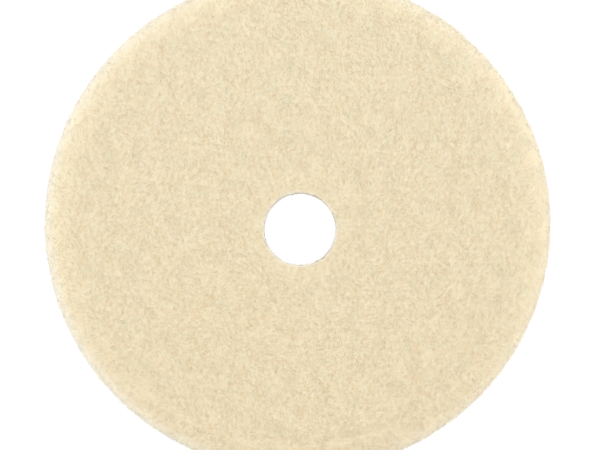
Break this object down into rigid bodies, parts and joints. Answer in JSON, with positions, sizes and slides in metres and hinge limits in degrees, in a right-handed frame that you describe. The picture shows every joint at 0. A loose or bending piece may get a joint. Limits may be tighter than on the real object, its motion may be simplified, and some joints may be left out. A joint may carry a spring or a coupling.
{
  "type": "polishing pad",
  "caption": "Round polishing pad of shorn lambswool on a tanned skin, with a foam cushion, a loop-fabric back and a punched centre hole.",
  "frame": {"origin": "centre of the loop face, on the pad's axis of rotation", "axes": "+Z along the axis of rotation, from the loop face out through the wool"},
  "size_m": [0.15, 0.15, 0.025],
  "materials": {
    "lambswool": "matte",
    "tanned_lambskin": "matte",
    "hot_melt_film": "satin",
    "polyurethane_foam": "matte",
    "loop_fabric": "matte"
  },
  "bodies": {
    "root": {"wool_pile": "lambswool", "lambskin_hide": "tanned_lambskin", "hide_glue_film": "hot_melt_film", "foam_interface": "polyurethane_foam", "loop_glue_film": "hot_melt_film", "loop_ground_knit": "loop_fabric", "loop_nap": "loop_fabric"}
  },
  "joints": []
}
